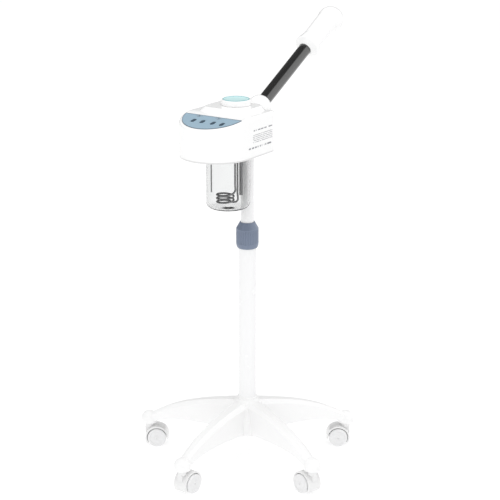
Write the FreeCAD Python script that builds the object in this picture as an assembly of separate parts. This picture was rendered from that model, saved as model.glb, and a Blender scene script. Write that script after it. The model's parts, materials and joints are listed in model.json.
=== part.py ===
"""Facial steamer: star base on casters, telescopic column, boiler head with glass jar,
and a steam arm on a ball joint. Millimetres, +Z up, floor at z = 0, column axis at x = y = 0."""
import FreeCAD, Part
import math
import os

V = FreeCAD.Vector
UP = V(0, 0, 1)

# ---- base and casters ----
LEG_COUNT = 5
LEG_FIRST_DEG = 90.0
STEM_CIRCLE_R = 233.0
BOSS_R = 18.0
BOSS_BOTTOM_Z = 55.0
BOSS_SHOULDER_Z = 63.0
BOSS_TOP_Z = 81.0
SOCKET_R = 8.0
SOCKET_TOP_Z = 78.0
HUB_BOTTOM_Z = 68.0
HUB_TOP_Z = 148.0
HUB_TOP_R = 22.0
WALL = 3.0
WHEEL_R = 21.0
WHEEL_INNER_Y = 7.0
WHEEL_OUTER_Y = 21.0
TRAIL = 17.0
AXLE_R = 3.0
STEM_R = 5.5
STEM_TOP_Z = 77.0
RUNNING_CLEARANCE = 0.05
HOOD_R = 26.2
HOOD_INNER_R = 22.6
HOOD_HALF_WIDTH = 16.5
HOOD_WEB_HALF = 6.5
HOOD_NECK_TOP_Z = 54.3
# where each caster trails: towards the column on the side legs, swung aside on the front ones
CASTER_TRAIL_DEG = (270.0, 0.0, 51.0, 129.0, 180.0)

# ---- column and mast ----
COLUMN_R = 19.0
COLUMN_WALL = 1.5
COLUMN_FOOT_Z = 78.0
COLUMN_TOP_Z = 510.0
MAST_R = 14.0
MAST_WALL = 1.2
MAST_FOOT_Z = 250.0
MAST_TOP_Z = 766.0
COLLAR_BOTTOM_Z = 486.0
COLLAR_SHOULDER_Z = 531.0
COLLAR_TOP_Z = 544.5
COLLAR_R = 24.0
COLLAR_RIBS = 28

# ---- head, in its own frame: s forward to the nose, w sideways ----
HEAD_TURN_DEG = -124.0
HEAD_BOTTOM_Z = 709.5
HEAD_SPLIT_Z = 713.0
HEAD_TOP_Z = 795.0
HEAD_HALF_WIDTH = 76.0
NOSE_S = 112.0
SHOULDER_S = 20.0
SHOULDER_R = 18.0
TAIL_S = -44.0
TAIL_R = 30.0
SHELL_WALL = 2.8
PANEL_START_S = 108.0
PANEL_SLOPE = 0.22
REAR_DECK_Z = 772.0
REAR_STEP_S = (10.0, -20.0)
PLATEAU_Z = 804.0
PANEL_R = 69.5
PANEL_REAR_S = 121.5
BUTTON_W = (-30.4, -8.4, 17.6, 39.6)
BUTTON_S = 149.0
BUTTON_LENGTH = 14.0
BUTTON_WIDTH = 8.4
BUTTON_GAP = 0.5
BUTTON_TRAVEL = 1.2
BUTTON_FOOT_Z = 774.5
LENS_W = (-31.8, 16.1)
LENS_S = 127.0
LENS_R = 1.8
SCREW_SITES = ((134.0, 60.0), (134.0, -60.0), (8.0, 47.0), (8.0, -47.0))

# ---- jar and boiler ----
JAR_S = 71.0
JAR_R = 45.7
JAR_WALL = 3.0
JAR_BOTTOM_Z = 592.0
JAR_TOP_Z = 715.8
JAR_CORNER_R = 12.0
FLANGE_Z = 718.5
FLANGE_TOP_Z = 722.0
COIL_R = 17.5
COIL_WIRE_R = 2.0
COIL_PITCH = 7.6
COIL_SWEEP_DEG = 1018.0
COIL_LEG_CLEAR = 6.0
COIL_TERMINAL_Z = 734.0
COIL_FOOT_Z = 600.4
COIL_START_DEG = 150.0
COIL_CENTRE = (74.4, -5.0)
COIL_LEG_SITES = ((59.6, 15.8), (67.1, 14.8))
SENSOR_SITE = (52.0, 19.5)
PROBE_SITE = (90.5, -29.0)
CAP_S = 41.0
CAP_R = 30.5
CAP_DISC_R = 28.0
CAP_TOP_Z = 817.0
CAP_SEAT_Z = 812.4
FILLER_PIPE_R = 8.5
FILLER_BORE_R = 6.5
DUCT_Z = 742.0
DUCT_R = 5.5
DUCT_BORE_R = 4.0

# ---- steam arm, along its own axis from the ball's centre ----
BALL_S = -45.0
BALL_Z = 785.0
BALL_R = 25.0
BALL_WALL = 4.0
ARM_ELEVATION_DEG = 28.5
ARM_TUBE_R = 11.0
SLEEVE_R = 13.8
SLEEVE_END = 212.0
SKIRT_FACE_X = 203.5
SKIRT_RIM_X = 213.0
SKIRT_R = 28.0
KINK_X = 241.0
KINK_R = 22.8
BARREL_R = 24.0
HOLLOW_X = 246.0
BULB_X = 320.7
BULB_R = 29.0
BULB_DROP = 5.0
NOZZLE_WALL = 2.0
MOUTH_REACH = 27.0
MOUTH_R = 18.0
OUTLET_R = 16.0
OUTLET_DEPTH = 14.0


def cylinder(radius, z0, z1, x=0.0, y=0.0):
    return Part.makeCylinder(radius, z1 - z0, V(x, y, z0), UP)


def tube(r_out, r_in, z0, z1, x=0.0, y=0.0):
    return cylinder(r_out, z0, z1, x, y).cut(cylinder(r_in, z0 - 1, z1 + 1, x, y))


def box(x0, x1, y0, y1, z0, z1):
    return Part.makeBox(x1 - x0, y1 - y0, z1 - z0, V(x0, y0, z0))


def rod(start, end, radius):
    """A round bar between two points."""
    a, b = V(*start), V(*end)
    return Part.makeCylinder(radius, (b - a).Length, a, b - a)


def revolve(profile):
    """Turn a closed (radius, height) outline about the Z axis."""
    points = [V(r, 0, z) for r, z in profile]
    wire = Part.makePolygon(points + points[:1])
    return Part.Face(wire).revolve(V(0, 0, 0), UP, 360)


def turned(shape, degrees, centre=V(0, 0, 0), axis=UP):
    copy = shape.copy()
    copy.rotate(centre, axis, degrees)
    return copy


def moved(shape, x=0.0, y=0.0, z=0.0):
    copy = shape.copy()
    copy.translate(V(x, y, z))
    return copy


def in_head(shape):
    """Head frame (s, w, z) to the object's frame."""
    return turned(shape, HEAD_TURN_DEG)


def in_arm(shape):
    """Arm frame (x along the arm, z its upper side) to the object's frame."""
    copy = turned(shape, -ARM_ELEVATION_DEG, axis=V(0, 1, 0))
    copy = turned(copy, 180)
    return in_head(moved(copy, BALL_S, 0, BALL_Z))


def save(name, shape):
    shape = shape.removeSplitter() if shape.ShapeType == "Solid" else shape
    solids = shape.Solids
    assert solids and all(s.isValid() for s in solids), name
    out = solids[0] if len(solids) == 1 else Part.makeCompound(solids)
    out.exportStep("parts/" + name + ".step")
    print("%-20s solids %2d volume %9.0f mm3" % (name, len(solids), out.Volume))


# ------------------------------------------------------------------ base
def leg_section(r, half_ridge, half_shoulder, half_foot, ridge_z, shoulder_z, foot_z):
    """Bevelled roof-shaped cross-section of a leg at radius r."""
    outline = [
        V(r, -half_foot, foot_z),
        V(r, half_foot, foot_z),
        V(r, half_shoulder, shoulder_z),
        V(r, half_ridge, ridge_z),
        V(r, -half_ridge, ridge_z),
        V(r, -half_shoulder, shoulder_z),
    ]
    return Part.makePolygon(outline + outline[:1])


LEG_STATIONS = (
    # radius, half ridge, half shoulder, half foot, ridge z, shoulder z, foot z
    (8.0, 12.0, 20.0, 21.0, 141.0, 131.0, 70.0),
    (45.0, 10.0, 18.5, 19.5, 136.0, 127.0, 71.0),
    (90.0, 8.0, 16.5, 17.5, 129.0, 121.0, 73.5),
    (130.0, 7.0, 15.0, 16.0, 120.0, 113.0, 75.0),
    (168.0, 6.0, 13.5, 14.5, 107.5, 101.0, 73.5),
    (202.0, 5.0, 12.5, 13.0, 91.5, 86.0, 66.5),
    (231.0, 4.0, 11.5, 12.0, 76.0, 70.0, 58.0),
)


def leg():
    outer = Part.makeLoft([leg_section(*row) for row in LEG_STATIONS], True, False)
    inner_rows = []
    for r, ridge, shoulder, foot, ridge_z, shoulder_z, foot_z in LEG_STATIONS[1:6]:
        inner_rows.append(
            leg_section(r, ridge - 2, shoulder - WALL, foot - WALL, ridge_z - 4, shoulder_z - 4, foot_z - 2)
        )
    channel = Part.makeLoft(inner_rows, True, False)
    ribs = [box(r - 1.2, r + 1.2, -20, 20, 60, 140) for r in (90.0, 130.0, 168.0)]
    for rib in ribs:
        channel = channel.cut(rib.common(box(0, 250, -20, 20, 82, 140)))
    return outer, channel


def boss_dome():
    """Domed tip that holds a caster, as a turned shape."""
    arc = Part.Arc(V(BOSS_R, 0, BOSS_SHOULDER_Z), V(14.0, 0, 74.5), V(0, 0, BOSS_TOP_Z)).toShape()
    lower = Part.makePolygon([V(0, 0, BOSS_TOP_Z), V(0, 0, BOSS_BOTTOM_Z), V(BOSS_R, 0, BOSS_BOTTOM_Z),
                              V(BOSS_R, 0, BOSS_SHOULDER_Z)])
    face = Part.Face(Part.Wire(Part.__sortEdges__([arc] + lower.Edges)))
    return moved(face.revolve(V(0, 0, 0), UP, 360), STEM_CIRCLE_R)


def leg_angles():
    return [LEG_FIRST_DEG + i * 360.0 / LEG_COUNT for i in range(LEG_COUNT)]


def star_base():
    hub = revolve([(0, HUB_BOTTOM_Z), (46, HUB_BOTTOM_Z), (44, 98), (37, 122), (29, 138), (HUB_TOP_R, 143),
                   (HUB_TOP_R, HUB_TOP_Z - 1.5), (HUB_TOP_R - 1.5, HUB_TOP_Z), (0, HUB_TOP_Z)])
    outer, channel = leg()
    dome = boss_dome()
    socket_hole = cylinder(SOCKET_R, BOSS_BOTTOM_Z - 1, SOCKET_TOP_Z, STEM_CIRCLE_R)
    arm = outer.fuse(dome)
    channel = channel.cut(cylinder(39, 0, 200))
    body = hub
    for angle in leg_angles():
        body = body.fuse(turned(arm, angle))
    for angle in leg_angles():
        body = body.cut(turned(channel, angle)).cut(turned(socket_hole, angle))
    body = body.cut(cylinder(COLUMN_R, COLUMN_FOOT_Z, HUB_TOP_Z + 5))
    return body.cut(cylinder(5.2, HUB_BOTTOM_Z - 5, COLUMN_FOOT_Z + 1))


def caster_sockets():
    bush = tube(SOCKET_R, STEM_R + RUNNING_CLEARANCE, BOSS_BOTTOM_Z, SOCKET_TOP_Z, STEM_CIRCLE_R)
    return Part.makeCompound([turned(bush, a) for a in leg_angles()])


def column_plug():
    plug = cylinder(COLUMN_R - COLUMN_WALL, COLUMN_FOOT_Z, 104)
    return plug.cut(cylinder(5, COLUMN_FOOT_Z - 1, 98))


def column_bolt():
    head = Part.Face(Part.makePolygon([V(9 * math.cos(math.radians(a)), 9 * math.sin(math.radians(a)), 59.5)
                                       for a in range(0, 361, 60)])).extrude(V(0, 0, 6.5))
    washer = cylinder(14, 66, HUB_BOTTOM_Z)
    return head.fuse(washer).fuse(cylinder(5, 66, 96))


def column_bush():
    sleeve = tube(COLUMN_R - COLUMN_WALL, MAST_R + RUNNING_CLEARANCE, 462, COLUMN_TOP_Z)
    lip = tube(COLUMN_R - 0.2, MAST_R + RUNNING_CLEARANCE, COLUMN_TOP_Z, COLUMN_TOP_Z + 2.5)
    return sleeve.fuse(lip)


def clamp_collar():
    outside = [(COLUMN_R + 1.4, COLLAR_BOTTOM_Z), (21.4, 487.5), (22.9, 490.5), (23.7, 494), (COLLAR_R, 498),
               (COLLAR_R, COLLAR_SHOULDER_Z - 0.8), (COLLAR_R - 0.6, COLLAR_SHOULDER_Z),
               (16.2, COLLAR_TOP_Z - 0.6), (15.4, COLLAR_TOP_Z)]
    inside = [(MAST_R + 0.4, COLLAR_TOP_Z), (MAST_R + 0.4, COLUMN_TOP_Z + 6), (COLUMN_R + 0.35, COLUMN_TOP_Z + 3.5),
              (COLUMN_R + 0.35, COLLAR_BOTTOM_Z)]
    body = revolve(outside + inside)
    groove = cylinder(1.0, 499, COLLAR_SHOULDER_Z - 3, COLLAR_R + 0.35)
    grooves = [turned(groove, i * 360.0 / COLLAR_RIBS) for i in range(COLLAR_RIBS)]
    return body.cut(Part.makeCompound(grooves))


def build_base():
    save("star_base", star_base())
    save("caster_sockets", caster_sockets())
    save("column_tube", tube(COLUMN_R, COLUMN_R - COLUMN_WALL, COLUMN_FOOT_Z, COLUMN_TOP_Z))
    save("column_plug", column_plug())
    save("column_bolt", column_bolt())
    save("column_bush", column_bush())
    save("clamp_collar", clamp_collar())
    save("mast_tube", tube(MAST_R, MAST_R - MAST_WALL, MAST_FOOT_Z, MAST_TOP_Z))
    save("mast_stop", tube(COLUMN_R - COLUMN_WALL - 0.3, MAST_R, MAST_FOOT_Z, MAST_FOOT_Z + 12))


# --------------------------------------------------------------- casters
def along_y(radius, y0, y1):
    """Cylinder on the axle line."""
    return Part.makeCylinder(radius, y1 - y0, V(TRAIL, y0, WHEEL_R), V(0, 1, 0))


def caster_hood():
    """Central web, drum-shaped guard over both wheels, and the neck that takes the stem."""
    web = along_y(HOOD_R, -HOOD_WEB_HALF, HOOD_WEB_HALF).cut(box(-20, 60, -10, 10, -10, 9))
    web = web.cut(box(TRAIL + 10, 60, -10, 10, 0, 30))
    drum = along_y(HOOD_R, -HOOD_HALF_WIDTH, HOOD_HALF_WIDTH)
    drum = drum.cut(along_y(HOOD_INNER_R, -HOOD_HALF_WIDTH - 1, HOOD_HALF_WIDTH + 1))
    wedge = Part.makePolygon([V(TRAIL, -30, WHEEL_R), V(TRAIL + 60, -30, WHEEL_R - 8),
                              V(TRAIL + 60, -30, -60), V(TRAIL - 60, -30, -60),
                              V(TRAIL - 60, -30, WHEEL_R - 38), V(TRAIL, -30, WHEEL_R)])
    drum = drum.cut(Part.Face(wedge).extrude(V(0, 60, 0)))
    drum = drum.makeFillet(0.8, [e for e in drum.Edges if e.Curve.TypeId == "Part::GeomCircle"
                                 and abs(e.Curve.Radius - HOOD_R) < 0.01])
    gusset = box(-9, TRAIL, -HOOD_WEB_HALF, HOOD_WEB_HALF, 30, 44)
    neck = cylinder(9.5, 43.8, HOOD_NECK_TOP_Z)
    body = web.fuse(drum).fuse(gusset).fuse(neck)
    return body.cut(cylinder(STEM_R, 34, 60)).cut(along_y(AXLE_R, -20, 20))


def caster_pins():
    stem = cylinder(STEM_R, 34, STEM_TOP_Z - 1.5).fuse(
        Part.makeCone(STEM_R, STEM_R - 1.5, 1.5, V(0, 0, STEM_TOP_Z - 1.5)))
    return Part.makeCompound([stem, along_y(AXLE_R, -18, 18)])


def caster_wheel(side):
    """Wheel with rounded tread edges and a dished outer face; side is +1 or -1."""
    rim = WHEEL_R
    outline = [(AXLE_R + RUNNING_CLEARANCE, WHEEL_INNER_Y), (rim - 1.5, WHEEL_INNER_Y), (rim, 8.5), (rim, 18.2), (rim - 0.7, 19.9),
               (rim - 2.4, WHEEL_OUTER_Y), (rim - 5.2, WHEEL_OUTER_Y), (rim - 6.4, 20.0), (6.5, 20.0),
               (5.5, 20.6), (2.2, 20.6), (2.0, 19.4), (0, 19.4), (0, 18.4), (AXLE_R + RUNNING_CLEARANCE, 18.4)]
    wheel = revolve(outline)
    wheel = turned(wheel, -90 * side, axis=V(1, 0, 0))
    return moved(wheel, TRAIL, 0, WHEEL_R)


def build_casters():
    for i, angle in enumerate(leg_angles()):
        x = STEM_CIRCLE_R * math.cos(math.radians(angle))
        y = STEM_CIRCLE_R * math.sin(math.radians(angle))
        pieces = {"hood": caster_hood(), "pins": caster_pins(), "wheel_left": caster_wheel(1),
                  "wheel_right": caster_wheel(-1)}
        for label, shape in pieces.items():
            placed = moved(turned(shape, CASTER_TRAIL_DEG[i]), x, y)
            save("caster_%d_%s" % (i + 1, label), placed)


# ------------------------------------------------------------------ head
def hull_side(c0, r0, c1, r1):
    """Ends of the outer tangent line from circle 0 to circle 1, on the +w side."""
    dx, dy = c1[0] - c0[0], c1[1] - c0[1]
    span = math.hypot(dx, dy)
    turn = (math.atan2(dy, dx) - math.acos((r0 - r1) / span)) % (2 * math.pi)
    n = (math.cos(turn), math.sin(turn))
    return (c0[0] + r0 * n[0], c0[1] + r0 * n[1]), (c1[0] + r1 * n[0], c1[1] + r1 * n[1]), turn


def head_outline(inset):
    """Plan of the head: round nose, straight sides, rounded shoulders and a round tail."""
    half = HEAD_HALF_WIDTH - inset
    shoulder_r, tail_r = SHOULDER_R - inset, TAIL_R - inset
    shoulder = (SHOULDER_S, half - shoulder_r)
    a, b, turn = hull_side(shoulder, shoulder_r, (TAIL_S, 0.0), tail_r)
    mid = (turn + math.pi / 2) / 2
    shoulder_mid = (shoulder[0] + shoulder_r * math.cos(mid), shoulder[1] + shoulder_r * math.sin(mid))

    def p(point, mirror=1):
        return V(point[0], mirror * point[1], 0)

    nose_mid = V(NOSE_S + half, 0, 0)
    edges = [
        Part.Arc(V(NOSE_S, half, 0), nose_mid, V(NOSE_S, -half, 0)).toShape(),
        Part.LineSegment(V(NOSE_S, -half, 0), V(SHOULDER_S, -half, 0)).toShape(),
        Part.Arc(V(SHOULDER_S, -half, 0), p(shoulder_mid, -1), p(a, -1)).toShape(),
        Part.LineSegment(p(a, -1), p(b, -1)).toShape(),
        Part.Arc(p(b, -1), V(TAIL_S - tail_r, 0, 0), p(b)).toShape(),
        Part.LineSegment(p(b), p(a)).toShape(),
        Part.Arc(p(a), p(shoulder_mid), V(SHOULDER_S, half, 0)).toShape(),
        Part.LineSegment(V(SHOULDER_S, half, 0), V(NOSE_S, half, 0)).toShape(),
    ]
    return Part.Wire(edges)


def head_prism(inset, z0, z1):
    return moved(Part.Face(head_outline(inset)), z=z0).extrude(V(0, 0, z1 - z0))


def under_top(dz):
    """Everything below the head's top surface shifted by dz: flat middle, sloping front, stepped rear."""
    z, deck = HEAD_TOP_Z + dz, REAR_DECK_Z + dz
    blend = 22.0
    s0, s1 = PANEL_START_S - blend / 2, PANEL_START_S + blend / 2
    z1 = z - PANEL_SLOPE * blend / 2
    s_end = NOSE_S + HEAD_HALF_WIDTH + 20
    z_end = z - PANEL_SLOPE * (s_end - PANEL_START_S)
    front = Part.BezierCurve()
    front.setPoles([V(s0, 0, z), V(PANEL_START_S, 0, z), V(s1, 0, z1)])
    top_s, low_s = REAR_STEP_S
    rear = Part.BezierCurve()
    rear.setPoles([V(low_s, 0, deck), V(low_s + 9, 0, deck), V(top_s - 12, 0, z), V(top_s, 0, z)])
    far = TAIL_S - TAIL_R - 20
    edges = [
        Part.LineSegment(V(far, 0, 600), V(far, 0, deck)).toShape(),
        Part.LineSegment(V(far, 0, deck), V(low_s, 0, deck)).toShape(),
        rear.toShape(),
        Part.LineSegment(V(top_s, 0, z), V(s0, 0, z)).toShape(),
        front.toShape(),
        Part.LineSegment(V(s1, 0, z1), V(s_end, 0, z_end)).toShape(),
        Part.LineSegment(V(s_end, 0, z_end), V(s_end, 0, 600)).toShape(),
        Part.LineSegment(V(s_end, 0, 600), V(far, 0, 600)).toShape(),
    ]
    half = HEAD_HALF_WIDTH + 30
    return moved(Part.Face(Part.Wire(edges)), y=-half).extrude(V(0, 2 * half, 0))


def rounded_plate(s0, s1, half_w, radius, z):
    """Rectangle with round corners, lying flat at height z."""
    plate = box(s0, s1, -half_w, half_w, z, z + 1)
    posts = [e for e in plate.Edges if abs(e.tangentAt(e.FirstParameter).z) > 0.9]
    plate = plate.makeFillet(radius, posts)
    bottom = min(plate.Faces, key=lambda f: f.CenterOfMass.z)
    return bottom.OuterWire


def plateau(inset, dz):
    """Raised deck round the filler cap, with sloping sides."""
    foot = rounded_plate(6 + inset, 106 - inset, 64 - inset, 26 - inset, HEAD_TOP_Z - 3)
    crest = rounded_plate(9 + inset, 94 - inset, 50 - inset, 20 - inset, PLATEAU_Z + dz)
    return Part.makeLoft([foot, crest], True, False)


def oval(length, width, s, w, z0, z1):
    """Upright oval prism with its long axis along s."""
    half = (length - width) / 2
    core = box(s - half, s + half, w - width / 2, w + width / 2, z0, z1)
    ends = [cylinder(width / 2, z0, z1, s + k * half, w) for k in (-1, 1)]
    return core.fuse(ends[0]).fuse(ends[1])


def panel_prism(clearance, z0, z1):
    """D-shaped plan of the control panel."""
    disc = cylinder(PANEL_R + clearance, z0, z1, NOSE_S, 0)
    return disc.cut(box(-200, PANEL_REAR_S - clearance, -200, 200, z0 - 1, z1 + 1))


def head_upper_shell():
    outer = head_prism(0, HEAD_SPLIT_Z, 840).common(under_top(0))
    rim = [e for e in outer.Edges if e.CenterOfMass.z > REAR_DECK_Z - 4
           and not all(abs(v.Point.y) > HEAD_HALF_WIDTH + 5 for v in e.Vertexes)]
    wall_rim = []
    for e in rim:
        at_wall = all(distance_to_outline(e.valueAt(t)) < 0.05
                      for t in (e.FirstParameter, (e.FirstParameter + e.LastParameter) / 2, e.LastParameter))
        upright = e.BoundBox.ZLength > 20
        if at_wall and not upright:
            wall_rim.append(e)
    outer = outer.makeFillet(6.0, wall_rim)
    outer = outer.fuse(plateau(0, 0)).removeSplitter()
    inner = head_prism(SHELL_WALL, HEAD_SPLIT_Z - 1, 840).common(under_top(-SHELL_WALL))
    inner = inner.fuse(plateau(SHELL_WALL, -SHELL_WALL))
    shell = outer.cut(inner)
    for s, w in SCREW_SITES:
        post = cylinder(4.5, 722, 840, s, w).common(under_top(-1))
        shell = shell.fuse(post.cut(cylinder(1.6, 721, 740, s, w)))
    shell = shell.cut(panel_prism(0.15, 760, 840).cut(under_top(-0.9)))
    for w in BUTTON_W:
        shell = shell.cut(oval(BUTTON_LENGTH + 2 * BUTTON_GAP, BUTTON_WIDTH + 2 * BUTTON_GAP, BUTTON_S, w, 770, 840))
    for w in LENS_W:
        shell = shell.cut(cylinder(LENS_R, 770, 840, LENS_S, w))
    shell = shell.cut(cylinder(26, 780, 840, CAP_S, 0))
    shell = shell.cut(cylinder(23.5, 755, 840, BALL_S, 0))
    return shell.cut(inlet_body(0.2))


def distance_to_outline(point):
    flat = Part.Vertex(point.x, point.y, 0)
    return head_outline(0).distToShape(flat)[0]


def head_lower_shell():
    floor = head_prism(0, HEAD_BOTTOM_Z, HEAD_SPLIT_Z)
    low_edges = [e for e in floor.Edges if e.BoundBox.ZMax < HEAD_BOTTOM_Z + 0.1]
    floor = floor.makeFillet(1.5, low_edges)
    lip = head_prism(SHELL_WALL + 0.15, HEAD_SPLIT_Z, 717).cut(head_prism(SHELL_WALL + 2.0, HEAD_SPLIT_Z, 718))
    body = floor.fuse(lip)
    for s, w in SCREW_SITES:
        body = body.fuse(cylinder(4.5, HEAD_SPLIT_Z - 1, 722, s, w))
        body = body.cut(cylinder(1.8, 700, 730, s, w)).cut(cylinder(3.6, 700, HEAD_BOTTOM_Z + 2.2, s, w))
    body = body.cut(cylinder(JAR_R + 0.4, 700, 716, JAR_S, 0))
    return body.cut(cylinder(MAST_R + 0.4, 700, 716))


def shell_screws():
    screws = []
    for s, w in SCREW_SITES:
        head = cylinder(3.4, HEAD_BOTTOM_Z + 0.2, HEAD_BOTTOM_Z + 2.2, s, w)
        screws.append(head.fuse(cylinder(1.6, HEAD_BOTTOM_Z + 2.2, 738, s, w)))
    return Part.makeCompound(screws)


def mast_socket():
    """Bearing sleeve and thrust cap that let the head turn on the mast."""
    sleeve = tube(18, MAST_R + RUNNING_CLEARANCE, HEAD_SPLIT_Z, MAST_TOP_Z + 0.3)
    crown = cylinder(18, MAST_TOP_Z + 0.3, MAST_TOP_Z + 3)
    foot = box(-36, 19, -22, 22, HEAD_SPLIT_Z, HEAD_SPLIT_Z + 4).cut(cylinder(17, 700, 730))
    return sleeve.fuse(crown).fuse(foot)


def panel_features(shape, clearance):
    for w in BUTTON_W:
        shape = shape.cut(oval(BUTTON_LENGTH + 2 * clearance, BUTTON_WIDTH + 2 * clearance, BUTTON_S, w, 700, 900))
    for w in LENS_W:
        shape = shape.cut(cylinder(LENS_R, 700, 900, LENS_S, w))
    return shape


def control_panel():
    slab = under_top(0.5).cut(under_top(-0.9))
    return panel_features(slab.common(panel_prism(0, 760, 840)), BUTTON_GAP)


def indicator_lenses():
    lenses = [cylinder(LENS_R, 780, 840, LENS_S, w).common(under_top(0.9)) for w in LENS_W]
    return Part.makeCompound(lenses)


def button(w):
    """Oval key with a retaining foot under the shell."""
    key = oval(BUTTON_LENGTH, BUTTON_WIDTH, BUTTON_S, w, BUTTON_FOOT_Z, 840).common(under_top(1.8))
    return key.fuse(oval(BUTTON_LENGTH + 3, BUTTON_WIDTH + 3, BUTTON_S, w, BUTTON_FOOT_Z, BUTTON_FOOT_Z + 1.8))


def control_board():
    top = BUTTON_FOOT_Z - BUTTON_TRAVEL - 0.2
    board = box(124, 168, -38, 48, top - 4.6, top - 3.0)
    keys = [box(BUTTON_S - 3, BUTTON_S + 3, w - 3, w + 3, top - 3.0, top) for w in BUTTON_W]
    for key in keys:
        board = board.fuse(key)
    return board.common(head_prism(SHELL_WALL + 1, 700, 840))


def filler_neck():
    """Mouth under the cap, narrowing through a funnel to the pipe that fills the jar."""
    profile = [(21.5, PLATEAU_Z), (26, PLATEAU_Z), (26, 787), (FILLER_PIPE_R, 771), (FILLER_PIPE_R, FLANGE_TOP_Z),
               (FILLER_BORE_R, FLANGE_TOP_Z), (FILLER_BORE_R, 773), (21.5, 788)]
    return moved(revolve(profile), CAP_S)


def filler_cap():
    z0, z1 = PLATEAU_Z + 0.4, CAP_TOP_Z - 1
    profile = [(18.5, 792), (21.1, 792), (21.1, z0), (CAP_R, z0), (CAP_R, z1 - 2.2), (CAP_R - 0.5, z1 - 0.8),
               (CAP_R - 1.6, z1), (CAP_DISC_R, z1), (CAP_DISC_R, CAP_SEAT_Z), (0, CAP_SEAT_Z), (0, 808), (18.5, 808)]
    return moved(revolve(profile), CAP_S)


def cap_disc():
    disc = revolve([(0, CAP_SEAT_Z), (CAP_DISC_R, CAP_SEAT_Z), (CAP_DISC_R, CAP_TOP_Z - 0.7), (CAP_DISC_R - 0.7, CAP_TOP_Z),
                    (CAP_DISC_R - 3, CAP_TOP_Z), (CAP_DISC_R - 5, CAP_TOP_Z - 1.4), (0, CAP_TOP_Z - 1.4)])
    return moved(disc, CAP_S)


def jar_flange():
    plate = cylinder(49.5, FLANGE_Z, FLANGE_TOP_Z)
    skirt = tube(49.5, JAR_R + 0.6, HEAD_SPLIT_Z, FLANGE_Z)
    body = moved(plate.fuse(skirt), JAR_S)
    for s, w in COIL_LEG_SITES:
        body = body.cut(cylinder(COIL_WIRE_R + 0.1, 700, 740, s, w))
    body = body.cut(cylinder(3.8, 700, 740, *SENSOR_SITE)).cut(cylinder(1.4, 700, 740, *PROBE_SITE))
    body = body.cut(cylinder(FILLER_BORE_R, 700, 740, CAP_S, 0))
    return body.cut(cylinder(DUCT_R, 700, 740, DUCT_SITES[0][0], DUCT_SITES[0][1]))


def heating_coil():
    """Rising turns low in the jar, with two straight legs up through the flange, as one swept tube."""
    s, w = COIL_CENTRE
    (s_a, w_a), (s_b, w_b) = COIL_LEG_SITES
    climb = COIL_PITCH * COIL_SWEEP_DEG / 360.0
    points = []
    for i in range(11):
        drop = COIL_TERMINAL_Z - COIL_FOOT_Z - COIL_LEG_CLEAR
        points.append(V(s_a, w_a, COIL_TERMINAL_Z - drop * i / 10))
    for i in range(35):
        angle = math.radians(COIL_START_DEG + COIL_SWEEP_DEG * i / 34)
        points.append(V(s + COIL_R * math.cos(angle), w + COIL_R * math.sin(angle), COIL_FOOT_Z + climb * i / 34))
    for i in range(11):
        low = COIL_FOOT_Z + climb + COIL_LEG_CLEAR
        points.append(V(s_b, w_b, low + (COIL_TERMINAL_Z - low) * i / 10))
    curve = Part.BSplineCurve()
    curve.interpolate(points)
    circle = Part.Wire(Part.Circle(points[0], UP, COIL_WIRE_R).toShape())
    return Part.Wire(curve.toShape()).makePipeShell([circle], True, False)


def level_probe():
    s, w = PROBE_SITE
    return cylinder(1.4, 624, 732, s, w).fuse(cylinder(3.5, FLANGE_TOP_Z, 727, s, w))


def steam_sensor():
    s, w = SENSOR_SITE
    return cylinder(3.8, 617, 730, s, w).fuse(cylinder(6, FLANGE_TOP_Z, 727, s, w))


def glass_jar():
    """Straight-sided jar with a rounded foot and a small glass pip below."""
    r, c, t = JAR_R, JAR_CORNER_R, JAR_WALL
    z = JAR_BOTTOM_Z
    k = math.sqrt(0.5)
    points = {
        "foot": V(r - c, 0, z), "mid": V(r - c + c * k, 0, z + c - c * k), "side": V(r, 0, z + c),
        "rim": V(r, 0, JAR_TOP_Z), "rim_in": V(r - t, 0, JAR_TOP_Z), "side_in": V(r - t, 0, z + c),
        "mid_in": V(r - c + (c - t) * k, 0, z + c - (c - t) * k), "foot_in": V(r - c, 0, z + t),
    }
    p = points
    edges = [
        Part.LineSegment(V(0, 0, z), p["foot"]).toShape(),
        Part.Arc(p["foot"], p["mid"], p["side"]).toShape(),
        Part.LineSegment(p["side"], p["rim"]).toShape(),
        Part.LineSegment(p["rim"], p["rim_in"]).toShape(),
        Part.LineSegment(p["rim_in"], p["side_in"]).toShape(),
        Part.Arc(p["side_in"], p["mid_in"], p["foot_in"]).toShape(),
        Part.LineSegment(p["foot_in"], V(0, 0, z + t)).toShape(),
        Part.LineSegment(V(0, 0, z + t), V(0, 0, z)).toShape(),
    ]
    jar = Part.Face(Part.Wire(edges)).revolve(V(0, 0, 0), UP, 360)
    pip = Part.makeCone(2.0, 3.5, 6.0, V(0, 0, z - 6.0)).fuse(Part.makeSphere(2.0, V(0, 0, z - 6.0)))
    return moved(jar.fuse(pip), JAR_S)


DUCT_SITES = ((60.0, 35.0, FLANGE_Z), (60.0, 35.0, DUCT_Z), (-8.0, 36.0, DUCT_Z), (BALL_S, 0.0, DUCT_Z),
              (BALL_S, 0.0, 753.0))


def steam_duct():
    """Pipe from the boiler flange, past the mast socket, to the spigot under the ball joint."""
    def run(radius):
        solids = [rod(a, b, radius) for a, b in zip(DUCT_SITES[:-1], DUCT_SITES[1:])]
        solids += [Part.makeSphere(radius, V(*p)) for p in DUCT_SITES[1:-1]]
        return solids[0].multiFuse(solids[1:])
    s, w, z = DUCT_SITES[0]
    inlet = rod((s, w, z - 20), (s, w, z + 5), DUCT_BORE_R)
    outlet = rod(DUCT_SITES[-2], (BALL_S, 0, 760), DUCT_BORE_R)
    return run(DUCT_R).cut(run(DUCT_BORE_R).fuse(inlet).fuse(outlet))


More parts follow.
